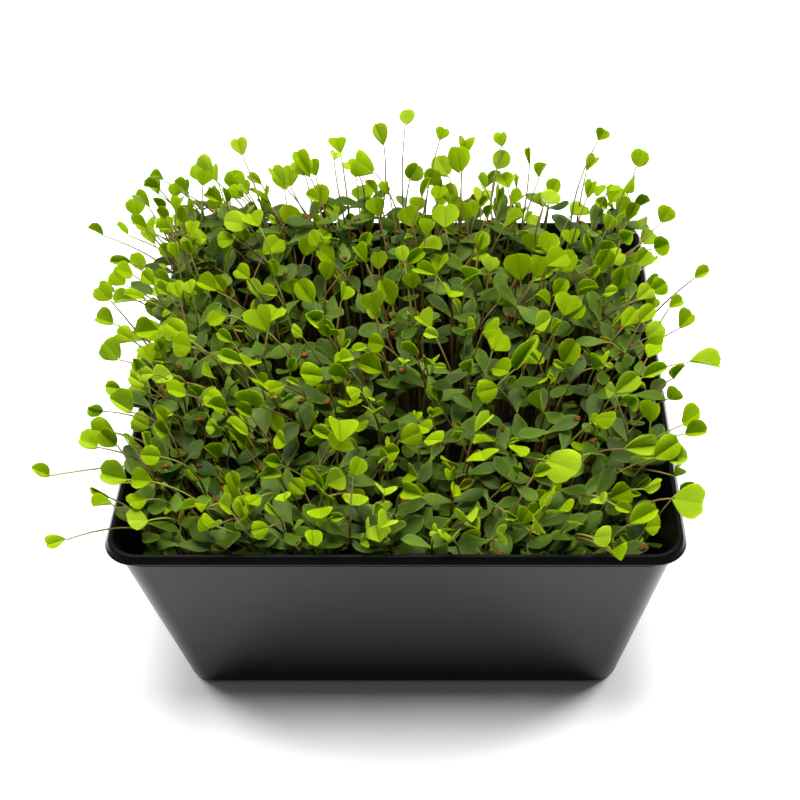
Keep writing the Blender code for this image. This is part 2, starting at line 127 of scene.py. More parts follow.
# The leaves that stand out most: how far right, back and above the rim, and how wide, in mm
LEADING_LEAVES = (
    (-89, 42, 15, 5), (-82, 44, 14, 5), (-75, 61, 18, 6), (-79, 53, 16, 6), (-60, 63, 22, 9),
    (-49, 66, 28, 6), (-38, 60, 22, 7), (-30, 60, 26, 9), (-21, 61, 28, 5), (-13, 61, 25, 9),
    (-8, 63, 34, 7), (0, 66, 38, 5), (10, 65, 33, 5), (10, 62, 24, 7), (27, 64, 32, 5), (35, 61, 28, 6),
    (56, 63, 34, 5), (64, 56, 14, 8), (74, 46, 18, 6), (73, 38, 13, 7), (11, 45, 18, 9),
    (60, 22, 14, 9), (76, 5, 12, 6), (79, -13, 12, 9), (67, -3, 10, 7), (66, -15, 11, 8),
    (44, 7, 16, 8), (32, -14, 16, 11), (73, -34, 12, 7), (66, -45, 12, 10), (40, -51, 12, 10),
    (70, -59, 8, 9), (59, -62, 6, 8), (-80, 28, 14, 7), (-83, 22, 10, 6), (-76, 13, 12, 7),
    (-80, 5, 12, 6), (-77, -5, 10, 7), (-67, -20, 12, 7), (-78, -26, 8, 7), (-77, -39, 8, 6),
    (-87, -48, 7, 5), (-80, -68, 3, 6), (-71, -56, 8, 6), (-61, -54, 10, 6), (-44, -11, 12, 8),
    (-40, -38, 12, 8), (-14, -41, 14, 10), (4, -56, 8, 7), (-4, -64, 1, 8), (31, -59, 3, 5),
    (-74, 44, 15, 7), (-68, 38, 20, 6), (-65, 52, 22, 6), (-60, 40, 14, 7), (-64, -7, 12, 7),
    (-57, -10, 16, 7), (-70, -29, 12, 8), (-54, 18, 14, 7), (-37, -2, 18, 8), (-37, -29, 14, 8),
    (-56, -26, 14, 6), (68, 47, 13, 6), (52, -72, 2, 7), (58, -21, 12, 8), (61, 6, 12, 7),
    (-8, 6, 18, 8), (20, 19, 16, 8), (38, -1, 16, 7), (19, -7, 18, 8), (21, -48, 12, 9),
    (41, 46, 24, 6), (6, 48, 26, 7),
)

# What is added between the CAD part's seedlings, in mm: more chosen leaves, then bands of leaves
# over each side of the rim (how many, and how far right, back and above the rim)
EXTRA_LEAVES = (
    (-49, 66, 28, 6), (-8, 63, 34, 7), (67, -3, 10, 7), (-68, 38, 20, 6), (-70, -29, 12, 8),
    (68, 47, 13, 6), (60, -40, 8, 9), (72, -16, 12, 6), (-50, 58, 18, 6), (15, 56, 30, 8),
    (-42, 37, 22, 7), (-37, 20, 18, 7), (-50, 6, 12, 6), (-20, -1, 15, 7), (-46, -37, 12, 7),
    (21, 30, 20, 6), (37, 24, 16, 7), (51, -17, 14, 8), (27, 62, 26, 6), (52, 47, 26, 6),
    (9, -42, 12, 7), (8, -6, 16, 6),
)
FRINGE = (
    (72, (-80, -58), (-56, 60), (3, 17)),
    (30, (-64, 20), (54, 68), (5, 24)),
    (7, (20, 62), (56, 66), (10, 26)),
    (18, (58, 74), (-54, 50), (4, 14)),
    (26, (-62, 58), (-69, -54), (1, 8)),
)
FRINGE_WIDTH = (4.8, 7.8)

# Seedlings close inside the walls, whose seed leaves reach over the rim: how many, and where the
# roots stand across and back, in mm; then the carpet, in the same way
EDGE = (
    (50, (-61, -54), (-58, 58)),
    (40, (-58, 40), (-61, -55)),
    (16, (52, 59), (-40, 50)),
)
CARPET = 290
CARPET_REACH_X = (-61, 58)
CARPET_REACH_Y = (-60, 60)

# The share of added seedlings that have no first leaf yet: at the front of the bed and elsewhere
BARE_FRONT = 0.6
BARE_ELSEWHERE = 0.2
FRONT_EDGE = -28 * MM
EXTRA_SEED = 7
DETAIL_SEED = 5

# How a group of seedlings is drawn: heights and leaf widths in mm, the share of the full room that
# each keeps clear, and how many tries it gets
Habit = namedtuple("Habit", "heights widths ease tries")
CAD_HABIT = Habit(NODE_HEIGHT, LEAF_WIDTH, 1.0, 400)
FRINGE_HABIT = Habit((23, 33), FRINGE_WIDTH, 0.45, 80)
EDGE_HABIT = Habit((25, 33), (4.8, 7.0), 0.34, 120)
CARPET_HABIT = Habit((12, 28), (4.8, 8.2), 0.4, 60)

# Real thicknesses of a seedling
STEM_RADIUS = 0.46 * MM
STALK_RADIUS = 0.23 * MM
SEED_LEAF_THICK = 0.34 * MM
FIRST_LEAF_THICK = 0.2 * MM

# A seed leaf's mesh, as rows and columns, how much longer and narrower than planned it is drawn,
# and its cup, wave and sunken midrib as shares of its width
SEED_LEAF_GRID = (9, 7)
SEED_LEAF_STRETCH = 1.12
SEED_LEAF_SQUEEZE = 0.86
SEED_LEAF_CUP = (-0.05, 0.16)
SEED_LEAF_WAVE = (0.0, 0.05)
SEED_LEAF_MIDRIB = 0.05

# A first leaf's mesh, its outline's spread to each side in degrees, the powers that shape it, and
# its notch, lobes, scallops, ripple and belly as shares of its size
FIRST_LEAF_GRID = (5, 33)
LEAF_SPREAD = (38, 72)
LEAF_BLUNT = (2.4, 5.2)
LEAF_ROUND = (0.34, 0.48)
LEAF_TAPER = (0.1, 0.7)
LEAF_NOTCH = (-0.02, 0.15)
LEAF_LOBES = 0.035
LEAF_SCALLOP = 0.013
LEAF_SCALLOP_TURNS = (17, 24)
LEAF_RIPPLE = (0.02, 0.09)
LEAF_BELLY = (-0.34, 0.12)
SMALLER_LEAF = 0.92
MORE_FOLD = (1.0, 1.8)
MOST_FOLD = 1.3

# A first leaf's tone on its material's ramp: where it starts and what chance adds
LEADING_TONE, OTHER_TONE = 0.45, 0.06
TONE_SPREAD, OTHER_SPREAD = 0.54, 0.4

# A young leaf: the chance of one beside a first leaf and without it, angles in degrees, sizes in mm
YOUNG_CHANCE, YOUNG_CHANCE_BARE = 0.28, 0.6
YOUNG_RISE = (45, 80)
YOUNG_STALK = (2.5, 6)
YOUNG_TIP = (20, 60)
YOUNG_LENGTH = (3.4, 5.2)
YOUNG_WIDTH = (0.6, 0.85)
YOUNG_FOLD = (45, 68)
YOUNG_CURL = (-20, 25)
WITHERED = 0.25

# A seed coat: its chance, half its length in mm, its girth as a share of that, and its dents
COAT_CHANCE = 0.3
COAT_GRID = (7, 8)
COAT_REACH = (0.8, 1.15)
COAT_GIRTH = (0.7, 0.95)
COAT_DENT = 0.12

# The growing medium's cover: points to a side, gap to the wall, its lie above the block in mm, and
# its bumps: size as a frequency in 1/mm, shift and height in mm
COVER_STEPS = 90
COVER_GAP = 2.6 * MM
COVER_LIE = 0.5
COVER_THICK = 1.2 * MM
COVER_BUMPS = ((0.09, (0, 0, 0), 0.9), (0.35, (7, 3, 1), 0.7), (0.9, (1, 9, 4), 0.45))
FIBRES = 160
FIBRE_REACH = 58
FIBRE_LIMIT = 60 * MM
FIBRE_LENGTH = (4, 13)
FIBRE_BOW = (1, 3)
FIBRE_RADIUS = 0.13 * MM

# The stage: a round floor that is lit white as far as its edge, a little below the tray
FLOOR_RADIUS = 430 * MM
FLOOR_SIDES = 96
FLOOR_DROP = 0.2 * MM

# Square lamps: name, place and size in metres, power in watts, and whether it shows in reflections.
# Only a wide, dim one does, so that the plastic stays black.
LAMPS = (
    ("left_side", (-0.8, 0.5, 0.6), 0.5, 9.5, False),
    ("right_side", (0.8, 0.5, 0.6), 0.5, 13.5, False),
    ("overhead", (0, 0.05, 1.1), 0.55, 17.0, False),
    ("ceiling", (-0.2, 0.45, 1.5), 1.6, 9.0, True),
)
LAMP_TARGET = Vector((0, 0, 0.03))

# The camera, fitted to the tray's edges in the photograph
CAMERA_PLACE = (16.7 * MM, -309.0 * MM, 324.1 * MM)
CAMERA_DIP = 41.53
CAMERA_LENS = 67.2
CAMERA_SHIFT = -0.0816

Blade = namedtuple("Blade", "base along up length width fold curl outline")
Seedling = namedtuple("Seedling", "tuft leading root bend node seed_leaves stalk_bend leaf")


# Plan of the seedlings, as in the CAD part

def oval(t):
    """Half width of a seed leaf, at t of its length."""
    return math.sin(math.pi * min(t, 1) ** 1.15) ** 0.7


def fan(t):
    """Half width of a first leaf, at t of its length: widest past the middle, with a blunt tip."""
    return math.sin(math.pi * min(t, 1) ** 1.25) ** 0.6


def on_curve(start, bend, end, t):
    """A point at t on the curve from start to end that is drawn towards bend."""
    return start * (1 - t) ** 2 + bend * (2 * t * (1 - t)) + end * t ** 2


def heading(azimuth, elevation):
    """The unit vector at these two angles."""
    flat = math.cos(elevation)
    return Vector((flat * math.cos(azimuth), flat * math.sin(azimuth), math.sin(elevation)))


def upright(along, lean):
    """The unit vector square to along that is nearest to lean."""
    return (lean - along * lean.dot(along)).normalized()


def blade_frame(blade, t):
    """The midrib's point at t of its length, and the ways along and up from it there."""
    turn = blade.curl * t
    half = turn / 2
    chord = blade.along * math.cos(half) + blade.up * math.sin(half)
    reach = blade.length * t * (math.sin(half) / half if turn else 1)
    along = blade.along * math.cos(turn) + blade.up * math.sin(turn)
    up = blade.up * math.cos(turn) - blade.along * math.sin(turn)
    return blade.base + chord * reach, along, up


def blade_point(blade, t, across):
    """A point on the blade's upper face, at t of its length and across of its half width."""
    rib, along, up = blade_frame(blade, t)
    side = up.cross(along) * (across * math.cos(blade.fold))
    rise = up * (abs(across) * math.sin(blade.fold))
    return rib + (side + rise) * (blade.width / 2 * blade.outline(t))


def inner_half(z):
    """Half the width between the tray's inner walls, at the height z."""
    slope = (TRAY_WIDTH / 2 - RIM_OVERHANG - BASE_WIDTH / 2) / (TRAY_HEIGHT - RIM_DEPTH)
    return BASE_WIDTH / 2 + slope * z - WALL


def misses_tray(points):
    """Whether every point (x, y, z, radius) is clear of the tray's walls, rim and bed."""
    for x, y, z, radius in points:
        inner = inner_half(min(z, TRAY_HEIGHT)) - RIM_CORNER
        corner = math.hypot(max(abs(x) - inner, 0), max(abs(y) - inner, 0))
        inside = corner + radius < RIM_CORNER
        beyond = max(abs(x), abs(y)) - radius > TRAY_WIDTH / 2
        if z < BED_TOP + radius or z < TRAY_HEIGHT + radius and not inside and not beyond:
            return False
    return True


def blade_samples(blade, steps, sides, radius):
    """Points all over a blade, each with the room that it takes."""
    return [(*blade_point(blade, t, across), radius) for t in steps for across in sides]


def stalk_samples(start, bend, end, radius):
    """Points along a stem or stalk, each with the room that it takes."""
    count = max(3, int((end - start).length / STALK_STEP))
    return [(*on_curve(start, bend, end, (i + 0.5) / count), radius) for i in range(count)]


def seedling_samples(seedling):
    """The room that a seedling takes: lists for its seed leaves, its stem and the rest."""
    pair = [point for blade in seedling.seed_leaves
            for point in blade_samples(blade, (0.25, 0.55, 0.85), (-0.6, 0, 0.6), SEED_LEAF_ROOM)]
    stem = stalk_samples(seedling.root + UP * MM, seedling.bend, seedling.node, STEM_ROOM)
    leaf = blade_samples(seedling.leaf, (0.15, 0.4, 0.65, 0.9), (-0.8, -0.3, 0.3, 0.8), LEAF_ROOM)
    stalk = stalk_samples(seedling.node, seedling.stalk_bend, seedling.leaf.base, STALK_ROOM)
    return pair, stem, stalk[2:] + leaf


def apart(points, others, ease=1.0):
    """Whether no point comes as near to any of the others as their radii say."""
    if not len(others):
        return True
    gaps = np.linalg.norm(points[:, None, :3] - others[None, :, :3], axis=2)
    return bool(np.all(gaps > (points[:, None, 3] + others[None, :, 3]) * ease))


def draw_seedling(rng, tuft, root, goal, habit):
    """One seedling from its root; goal is its leaf's middle and width where they are chosen."""
    outward = Vector((root.x, root.y, 0)) / BED_REACH
    stray = heading(rng.uniform(0, math.tau), 0) * rng.uniform(*NODE_STRAY)
    height = rng.uniform(*habit.heights) + NODE_RISE * outward.y
    node = root + (outward * rng.uniform(*NODE_LEAN) + stray + UP * height) * MM
    width = rng.uniform(*habit.widths) * MM
    azimuth = math.atan2(outward.y, outward.x) + rng.gauss(0, 1.1)
    rise = math.radians(rng.uniform(*STALK_RISE))
    tilt = rise - math.radians(rng.uniform(*LEAF_DROP))
    base = node + heading(azimuth, rise) * (rng.uniform(*STALK_REACH) * MM)
    middle = base + heading(azimuth, tilt) * width / 2
    if goal:
        middle, width = goal
        reach = middle - root
        azimuth = math.atan2(reach.y, reach.x) + rng.gauss(0, 0.35)
        share = rng.uniform(*NODE_SHARE)
        lift = min(height * MM, reach.z - rng.uniform(*NODE_BELOW_LEAF) * MM)
        node = root + Vector((reach.x * share, reach.y * share, lift))
    length = width * rng.uniform(*LEAF_LENGTH)
    along = heading(azimuth, tilt)
    facing = Vector((rng.gauss(0, 0.3), rng.gauss(-0.55, 0.3), 1))
    base = middle - along * length / 2
    leaf = Blade(base, along, upright(along, facing), length, width,
                 math.radians(rng.uniform(*LEAF_FOLD)), math.radians(rng.uniform(*LEAF_CURL)), fan)
    arch = (base - node).length * (LEADING_ARCH if goal else STALK_ARCH)
    stalk_bend = (base - along * arch + node + UP * arch) / 2
    cross = math.atan2((base - node).y, (base - node).x) + math.pi / 2 + rng.uniform(-0.5, 0.5)
    pair = []
    for turn in (0, math.pi):
        pitch = math.radians(rng.uniform(*SEED_LEAF_PITCH))
        lie = heading(cross + turn + rng.uniform(-0.2, 0.2), pitch)
        size = rng.uniform(*SEED_LEAF_LENGTH) * MM
        facing = UP + Vector((rng.gauss(0, 0.2), rng.gauss(-0.2, 0.2), 0))
        foot = node + Vector((lie.x, lie.y, 0)).normalized() * STEM_HALF + UP * BLADE
        pair.append(Blade(foot, lie, upright(lie, facing), size, size * rng.uniform(*SEED_LEAF_WIDTH),
                          0.0, math.radians(rng.uniform(*SEED_LEAF_CURL)), oval))
    bend = (root + node) / 2
    if goal:
        bend += (UP - outward) * (STEM_BOW * MM)
    return Seedling(tuft, bool(goal), root, bend, node, pair, stalk_bend, leaf)


def runs_smoothly(seedling):
    """Whether the stalk leaves the stem, and the leaf its stalk, with no sharp turn."""
    node, leaf = seedling.node, seedling.leaf
    middle = on_curve(node, seedling.stalk_bend, leaf.base, 0.55)
    start, end = (middle - node).normalized(), (leaf.base - middle).normalized()
    return start.dot(UP) > LEAST_TURN and end.dot(leaf.along) > LEAST_TURN


def fits(seedling, taken, ease):
    """The seedling's samples if it is clear of itself, the tray and what is taken, or else None."""
    if not runs_smoothly(seedling):
        return None
    pair, stem, rest = (np.array(points) for points in seedling_samples(seedling))
    if not apart(rest, pair, ease * OWN_EASE):
        return None
    points = np.vstack((pair, stem, rest))
    if not misses_tray(points):
        return None
    low = points[:, :3].min(axis=0) - 2 * LEAF_ROOM
    high = points[:, :3].max(axis=0) + 2 * LEAF_ROOM
    near = taken[np.all((taken[:, :3] > low) & (taken[:, :3] < high), axis=1)]
    return points if apart(points, near, ease) else None


def plan_tufts(rng):
    """The middle of each tuft, row by row from the front, at the bed's top."""
    middle = (ROWS - 1) / 2
    return [Vector(((column - middle) * ROW_PITCH + ROW_SHIFT + rng.uniform(-1, 1) * ROW_JITTER,
                    (row - middle) * ROW_PITCH + rng.uniform(-1, 1) * ROW_JITTER, BED_TOP))
            for row in range(ROWS) for column in range(ROWS)]


def plan_roots(rng, tufts):
    """Each seedling's tuft, root and chosen leaf, if it has one, those with a chosen leaf first."""
    turns = [rng.uniform(0, math.tau) for _ in tufts]
    filled = [0] * len(tufts)

    def root_in(tuft):
        angle = turns[tuft] + filled[tuft] * math.tau / TUFT_MOST
        filled[tuft] += 1
        return tufts[tuft] + heading(angle, 0) * ROOT_SPREAD

    roots = []
    for x, y, above, width in LEADING_LEAVES:
        goal = Vector((x * MM, y * MM, TRAY_HEIGHT + above * MM))
        start = Vector((goal.x * 0.72, goal.y * 0.78, BED_TOP))
        free = [i for i in range(len(tufts)) if filled[i] < TUFT_MOST]
        tuft = min(free, key=lambda i: (tufts[i] - start).length)
        roots.append((tuft, root_in(tuft), (goal, width * MM)))
    for tuft in range(len(tufts)):
        size = rng.choice(TUFT_SIZES)
        while filled[tuft] < size:
            roots.append((tuft, root_in(tuft), None))
    return roots


def plan_seedlings(rng, roots, taken, habit):
    """Draw each seedling again until it is clear of those before it, and give up after some tries."""
    seedlings = []
    for tuft, root, goal in roots:
        for _ in range(habit.tries):
            seedling = draw_seedling(rng, tuft, root, goal, habit)
            points = fits(seedling, taken, habit.ease)
            if points is not None:
                seedlings.append(seedling)
                taken = np.vstack((taken, points))
                break
    return seedlings, taken


def nearest_tuft(tufts, root):
    """The tuft that a root stands nearest to."""
    return min(range(len(tufts)), key=lambda i: (tufts[i] - root).length)


def plan_fringe(rng, tufts):
    """Roots for the chosen extra leaves and for those that lean out over the rim."""
    goals = list(EXTRA_LEAVES)
    for count, right, back, above in FRINGE:
        goals += [(rng.uniform(*right), rng.uniform(*back), rng.uniform(*above),
                   rng.uniform(*FRINGE_WIDTH)) for _ in range(count)]
    roots = []
    for x, y, above, width in goals:
        goal = Vector((x * MM, y * MM, TRAY_HEIGHT + above * MM))
        root = Vector((goal.x * 0.78 + rng.uniform(-4, 4) * MM,
                       goal.y * 0.8 + rng.uniform(-4, 4) * MM, BED_TOP))
        roots.append((nearest_tuft(tufts, root), root, (goal, width * MM)))
    return roots


def scatter_roots(rng, tufts, count, across, back):
    """Roots anywhere in a stretch of the bed."""
    roots = []
    for _ in range(count):
        root = Vector((rng.uniform(*across) * MM, rng.uniform(*back) * MM, BED_TOP))
        roots.append((nearest_tuft(tufts, root), root, None))
    return roots


# Fine meshes, gathered as arrays

STEM, SEED_LEAF, FIRST_LEAF, SEED_COAT, ROOT_PLUG = range(5)


class Gathering:
    """Points, faces and what the materials read from them, for one object."""

    def __init__(self):
        self.points, self.faces, self.kinds = [], [], []
        self.marks = {"lengthwise": [], "sideways": [], "tone": []}
        self.count = 0

    def add(self, points, faces, kind, lengthwise, sideways, tone):
        """Take in one closed piece of one material."""
        self.points.append(points)
        self.faces.extend([tuple(int(i) + self.count for i in face) for face in faces])
        self.kinds.extend([kind] * len(faces))
        size = len(points)
        for name, values in (("lengthwise", lengthwise), ("sideways", sideways), ("tone", tone)):
            self.marks[name].append(np.broadcast_to(np.asarray(values, float), (size,)))
        self.count += size

    def build(self, name, materials, sharp=55):
        """Make the object, shaded smooth but for its sharp edges."""
        mesh = bpy.data.meshes.new(name)
        mesh.from_pydata(np.vstack(self.points).tolist(), [], self.faces)
        for material in materials:
            mesh.materials.append(material)
        mesh.polygons.foreach_set("material_index", self.kinds)
        for mark, values in self.marks.items():
            layer = mesh.attributes.new(mark, "FLOAT", "POINT")
            layer.data.foreach_set("value", np.concatenate(values).astype(np.float32))
        mesh.shade_smooth()
        mesh.set_sharp_from_angle(angle=math.radians(sharp))
        thing = bpy.data.objects.new(name, mesh)
        bpy.context.scene.collection.objects.link(thing)
        return thing


def grid_faces(rows, columns, first=0, turned=False, closed=False):
    """The quads of a grid of points, turned over or closed round its columns on request."""
    faces = []
    for i in range(rows - 1):
        for j in range(columns if closed else columns - 1):
            k = (j + 1) % columns
            face = (first + i * columns + j, first + i * columns + k,
                    first + (i + 1) * columns + k, first + (i + 1) * columns + j)
            faces.append(face[::-1] if turned else face)
    return faces


def capped_faces(rows, columns):
    """The faces of a closed body of rings, with a flat cap at each end."""
    last = (rows - 1) * columns
    caps = [tuple(range(columns))[::-1], tuple(last + j for j in range(columns))]
    return grid_faces(rows, columns, closed=True) + caps


def add_slab(gathering, top, thickness, kind, lengthwise, sideways, tone):
    """A thin closed blade from a grid of points on its upper face."""
    rows, columns = top.shape[:2]
    way = np.gradient(top, axis=0)
    side = np.gradient(top, axis=1)
    normal = np.cross(side, way)
    normal /= np.maximum(np.linalg.norm(normal, axis=2, keepdims=True), 1e-12)
    below = top - normal * thickness[..., None]
    points = np.vstack((top.reshape(-1, 3), below.reshape(-1, 3)))
    size = rows * columns
    faces = grid_faces(rows, columns) + grid_faces(rows, columns, size, turned=True)
    edge = list(range(columns))
    edge += [i * columns + columns - 1 for i in range(1, rows)]
    edge += [(rows - 1) * columns + j for j in range(columns - 2, -1, -1)]
    edge += [i * columns for i in range(rows - 2, 0, -1)]
    for a, b in zip(edge, edge[1:] + edge[:1]):
        faces.append((b, a, a + size, b + size))
    gathering.add(points, faces, kind,
                  np.tile(lengthwise.ravel(), 2), np.tile(sideways.ravel(), 2), tone)


def add_tube(gathering, path, radii, sides, kind, tone):
    """A closed tube along a path, with a radius at each of its points."""
    path = np.array([tuple(point) for point in path])
    way = np.gradient(path, axis=0)
    way /= np.linalg.norm(way, axis=1, keepdims=True)
    side = np.cross(way, (0.31, 0.87, 0.12))
    side /= np.linalg.norm(side, axis=1, keepdims=True)
    other = np.cross(way, side)
    angles = np.arange(sides) * math.tau / sides
    ring = (side[:, None] * np.cos(angles)[None, :, None]
            + other[:, None] * np.sin(angles)[None, :, None])
    points = path[:, None] + ring * np.asarray(radii)[:, None, None]
    lengthwise = np.repeat(np.linspace(0, 1, len(path)), sides)
    gathering.add(points.reshape(-1, 3), capped_faces(len(path), sides), kind, lengthwise, 0, tone)


def blade_surface(blade, t, across, lift):
    """Points of a blade's upper face: t of its length, and metres across and up from the midrib."""
    turn = blade.curl * t
    half = turn / 2
    along, up = np.array(blade.along), np.array(blade.up)
    side = np.cross(up, along)
    chord = along * np.cos(half)[..., None] + up * np.sin(half)[..., None]
    reach = blade.length * t * np.sinc(half / math.pi)
    rise = up * np.cos(turn)[..., None] - along * np.sin(turn)[..., None]
    out = side * (across * math.cos(blade.fold))[..., None]
    raised = rise * (np.abs(across) * math.sin(blade.fold) + lift)[..., None]
    return np.array(blade.base) + chord * reach[..., None] + out + raised


def add_seed_leaf(gathering, rng, blade, tone):
    """An oblong, slightly fleshy seed leaf with a short neck."""
    rows, columns = SEED_LEAF_GRID
    t = np.sin(np.linspace(0, math.pi / 2, rows))
    s = np.sin(np.linspace(-1, 1, columns) * math.pi / 2)
    t, s = np.meshgrid(t, s, indexing="ij")
    outline = np.sin(math.pi * np.clip(t, 0, 1) ** 1.55) ** 0.6
    half = np.maximum(blade.width / 2 * outline, 0.32 * MM * (1 - t) + 0.1 * MM)
    cup = rng.uniform(*SEED_LEAF_CUP)
    wave = rng.uniform(*SEED_LEAF_WAVE) * np.sin(t * rng.uniform(4, 8) + rng.uniform(0, 6)) * s
    midrib = SEED_LEAF_MIDRIB * blade.width * np.exp(-(s / 0.18) ** 2)
    lift = blade.width * (cup * s ** 2 * outline + wave) - midrib
    top = blade_surface(blade, t, s * half, lift)
    thickness = SEED_LEAF_THICK * (1 - 0.6 * s ** 4) * (0.6 + 0.4 * outline)
    add_slab(gathering, top, thickness, SEED_LEAF, t, s, tone)


def leaf_outline(rng, turn):
    """A first leaf's edge as angles and reaches from its foot: a wedge below, broad and blunt above."""
    spread = math.radians(rng.uniform(*LEAF_SPREAD))
    angle = spread * np.sin(turn)
    share = np.abs(angle / spread)
    blunt, round_off = rng.uniform(*LEAF_BLUNT), rng.uniform(*LEAF_ROUND)
    reach = (1 - share ** blunt) ** round_off * np.cos(angle) ** rng.uniform(*LEAF_TAPER)
    notch = rng.uniform(*LEAF_NOTCH) * np.exp(-(angle / 0.15) ** 2)
    lobes = LEAF_LOBES * np.sin(angle * rng.uniform(2, 4) + rng.uniform(0, 6))
    turns = angle * rng.uniform(*LEAF_SCALLOP_TURNS) + rng.uniform(0, 6)
    scallop = LEAF_SCALLOP * np.cos(turns) * (share < 0.86)
    return angle, reach * (1 - notch + lobes) + scallop


def add_first_leaf(gathering, rng, blade, tone):
    """A broad leaf folded along its midrib, with a scalloped edge and soft ripples."""
    rows, columns = FIRST_LEAF_GRID
    share = np.linspace(0.04, 1, rows) ** 0.8
    angle, outline = leaf_outline(rng, np.linspace(-1, 1, columns) * math.radians(86))
    span = np.abs(outline * np.sin(angle)).max()
    share, angle = np.meshgrid(share, angle, indexing="ij")
    x = share * outline[None, :] * np.cos(angle)
    y = share * outline[None, :] * np.sin(angle) * (blade.width / 2 / span)
    s = np.abs(y) / (blade.width / 2)
    ripple = (rng.uniform(*LEAF_RIPPLE) * np.sin(angle * rng.uniform(2, 5) + rng.uniform(0, 6))
              * share ** 2)
    belly = rng.uniform(*LEAF_BELLY) * s ** 2 + 0.06 * np.sqrt(s ** 2 + 0.02)
    top = blade_surface(blade, x, y, blade.width * (belly + ripple))
    thickness = FIRST_LEAF_THICK * (1 - 0.5 * share ** 6)
    add_slab(gathering, top, thickness, FIRST_LEAF, x, y / (blade.width / 2), tone)


def add_young_leaf(gathering, rng, node, tone):
    """A narrow new leaf, still folded, on a short stalk of its own: pale, or now and then brown."""
    way = heading(rng.uniform(0, math.tau), math.radians(rng.uniform(*YOUNG_RISE)))
    foot = node + way * (rng.uniform(*YOUNG_STALK) * MM)
    tip = heading(math.atan2(way.y, way.x), math.radians(rng.uniform(*YOUNG_TIP)))
    length = rng.uniform(*YOUNG_LENGTH) * MM
    facing = Vector((rng.gauss(0, 0.4), rng.gauss(-0.6, 0.3), 1))
    blade = Blade(foot, tip, upright(tip, facing), length, length * rng.uniform(*YOUNG_WIDTH),
                  math.radians(rng.uniform(*YOUNG_FOLD)), math.radians(rng.uniform(*YOUNG_CURL)),
                  fan)
    path = [node.lerp(foot, i / 4) for i in range(5)]
    add_tube(gathering, path, [STALK_RADIUS * 0.9] * 5, 5, STEM, tone)
    add_first_leaf(gathering, rng, blade, 0.02 if tone < WITHERED else 0.75 + 0.25 * tone)


def add_seed_coat(gathering, rng, middle, along):
    """A dented, shrivelled seed coat that still clings to the plant."""
    rows, sides = COAT_GRID
    reach = rng.uniform(*COAT_REACH) * MM
    girth = reach * rng.uniform(*COAT_GIRTH)
    way = np.array(along)
    side = np.cross(way, (0.3, 0.2, 0.9))
    side /= np.linalg.norm(side)
    other = np.cross(way, side)
    points = []
    for i in range(rows):
        lean = math.pi * (i + 0.5) / rows
        for j in range(sides):
            angle = j * math.tau / sides
            dent = 1 + 0.22 * math.sin(2 * angle + 1) + rng.uniform(-COAT_DENT, COAT_DENT)
            ring = side * math.cos(angle) + other * math.sin(angle) * 0.8
            out = ring * girth * math.sin(lean) * dent
            points.append(np.array(middle) - way * reach * math.cos(lean) + out)
    lengthwise = np.repeat(np.linspace(0, 1, rows), sides)
    gathering.add(np.array(points), capped_faces(rows, sides), SEED_COAT, lengthwise, 0,
                  rng.random())


def add_seedling(gathering, rng, seedling, bare):
    """A seedling, drawn fine on its plan; bare is the chance that its first leaf isn't out yet."""
    node, leaf = seedling.node, seedling.leaf
    tone = rng.random()
    sway = heading(rng.uniform(0, math.tau), 0) * rng.uniform(0, 0.5) * MM
    steps = [i / 7 for i in range(8)]
    path = [on_curve(seedling.root - UP * MM, seedling.bend, node + UP * 0.3 * MM, t)
            + sway * math.sin(math.pi * t) for t in steps]
    add_tube(gathering, path, [STEM_RADIUS * (1.05 - 0.2 * t) for t in steps], 7, STEM, tone)
    for blade in seedling.seed_leaves:
        blade = blade._replace(base=blade.base - blade.along * 0.3 * MM - UP * 0.2 * MM,
                               length=blade.length * SEED_LEAF_STRETCH,
                               width=blade.width * SEED_LEAF_SQUEEZE)
        add_seed_leaf(gathering, rng, blade, rng.random())
    whole = rng.random() >= bare
    if whole:
        steps = [i / 10 for i in range(11)]
        path = [on_curve(node, seedling.stalk_bend, leaf.base, t) for t in steps]
        add_tube(gathering, path, [STALK_RADIUS * (1.35 - 0.5 * t) for t in steps], 5, STEM, tone)
        size = 1.0 if seedling.leading else SMALLER_LEAF
        fold = min(leaf.fold * rng.uniform(*MORE_FOLD), MOST_FOLD)
        leaf = leaf._replace(width=leaf.width * size, length=leaf.length * size, fold=fold)
        shade = (LEADING_TONE if seedling.leading else OTHER_TONE) + TONE_SPREAD * rng.random()
        if not seedling.leading:
            shade += OTHER_SPREAD * rng.random()
        add_first_leaf(gathering, rng, leaf, shade)
    if rng.random() < (YOUNG_CHANCE if whole else YOUNG_CHANCE_BARE):
        add_young_leaf(gathering, rng, node, rng.random())
    if rng.random() < COAT_CHANCE:
        blade = rng.choice(seedling.seed_leaves)
        tip, along, _ = blade_frame(blade, rng.uniform(0.8, 1.02))
        add_seed_coat(gathering, rng, tip, along)


def add_root_plug(gathering, middle):
    """The plug of roots and fibre that a tuft stands in."""
    path = [middle - UP * (PLUG_DEPTH - 0.3 * MM), middle - UP * (PLUG_DEPTH / 2), middle]
    radii = [PLUG_RADIUS * share for share in (0.84, 0.9, 0.86)]
    add_tube(gathering, path, radii, 14, ROOT_PLUG, 0.5)


# Tray and bed

def corner_ring(half, corner, z, steps):
    """A square with rounded corners at the height z, as points that run anticlockwise."""
    ring = []
    for quarter, (sx, sy) in enumerate(((1, 1), (-1, 1), (-1, -1), (1, -1))):
        for i in range(steps + 1):
            angle = math.pi / 2 * (quarter + i / steps)
            ring.append((sx * (half - corner) + corner * math.cos(angle),
                         sy * (half - corner) + corner * math.sin(angle), z))
    return ring


